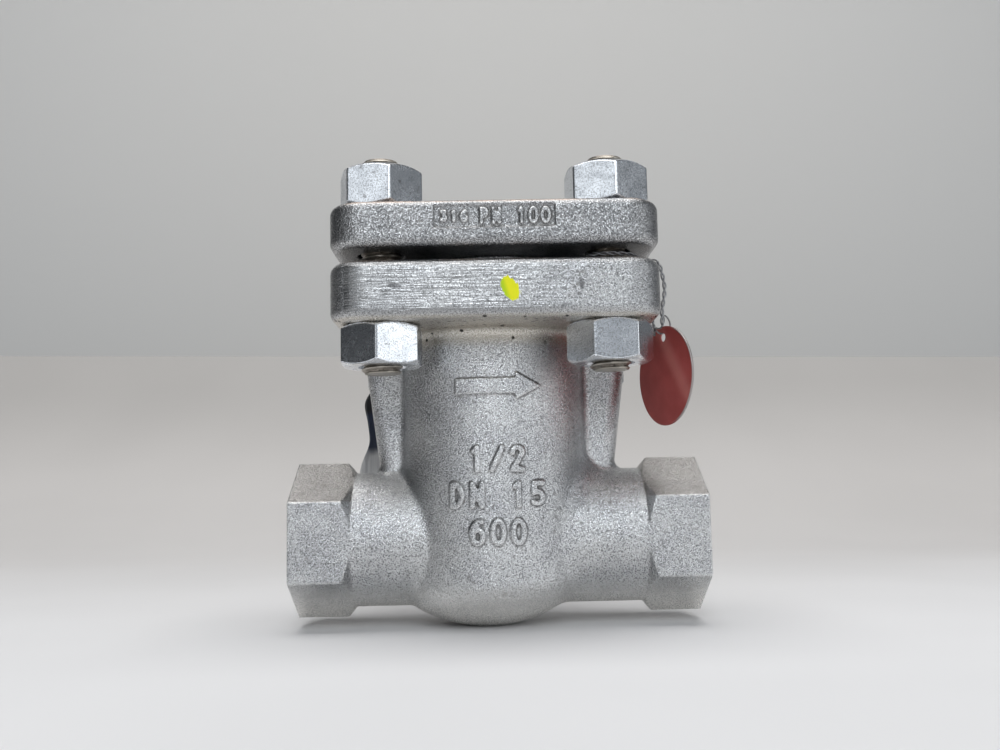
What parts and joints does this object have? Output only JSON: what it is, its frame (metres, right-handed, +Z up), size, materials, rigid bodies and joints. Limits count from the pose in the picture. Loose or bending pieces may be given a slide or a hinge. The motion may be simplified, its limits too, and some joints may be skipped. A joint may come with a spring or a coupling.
{
  "type": "swing check valve",
  "caption": "Cast stainless swing check valve with threaded hexagonal pipe ends, a square bolted cover, a hinged disc inside, a wired red tag and a strap label.",
  "frame": {"origin": "on the flat foot under the bowl, straight below the crossing of the flow line and the cover's centreline", "axes": "+X along the flow from inlet to outlet, +Z up through the cover, -Y towards the side with the arrow and the cast marks"},
  "size_m": [0.0998, 0.0764, 0.109],
  "materials": {
    "cast_stainless": "bead-blasted casting",
    "nut_steel": "forged and scaled, worn bright at the corners",
    "stud_steel": "threaded, dull",
    "turned_stainless": "fine turned",
    "trim_stainless": "satin",
    "gasket_facing": "graphite and steel windings",
    "red_enamel": "dull red enamel on thin sheet",
    "tie_wire": "twisted tie wire",
    "label_film": "printed film, dark at the neck and grey below"
  },
  "bodies": {
    "casing": {"body": "cast_stainless", "cover": "cast_stainless", "cover_gasket": "gasket_facing", "seat_ring": "turned_stainless", "hinge_bracket": "trim_stainless", "bracket_screw_front": "trim_stainless", "bracket_screw_rear": "trim_stainless", "hinge_pin": "turned_stainless", "cover_stud_front_left": "stud_steel", "cover_stud_front_right": "stud_steel", "cover_stud_rear_left": "stud_steel", "cover_stud_rear_right": "stud_steel", "upper_nut_front_left": "nut_steel", "upper_nut_front_right": "nut_steel", "upper_nut_rear_left": "nut_steel", "upper_nut_rear_right": "nut_steel", "lower_nut_front_left": "nut_steel", "lower_nut_front_right": "nut_steel", "lower_nut_rear_left": "nut_steel", "lower_nut_rear_right": "nut_steel", "tag_wire": "tie_wire", "strap_label": "label_film"},
    "swing_arm": {"hinge_arm": "trim_stainless"},
    "disc_assembly": {"disc": "turned_stainless", "disc_washer": "trim_stainless", "disc_nut": "trim_stainless", "disc_split_pin": "tie_wire"},
    "hanging_tag": {"red_tag": "red_enamel"}
  },
  "joints": [
    {"name": "disc_swing", "type": "hinge", "parent": "casing", "child": "swing_arm", "pos_m": [-0.0086, 0, 0.0346], "axis": [0, -1, 0], "range_deg": [0, 68]},
    {"name": "disc_spin", "type": "hinge", "parent": "swing_arm", "child": "disc_assembly", "pos_m": [-0.005, 0, 0.0211], "axis": [1, 0, 0], "continuous": true},
    {"name": "tag_swing", "type": "hinge", "parent": "casing", "child": "hanging_tag", "pos_m": [0.0412, -0.012, 0.0688], "axis": [-0.9272, -0.3746, 0], "range_deg": [-18, 30]}
  ]
}
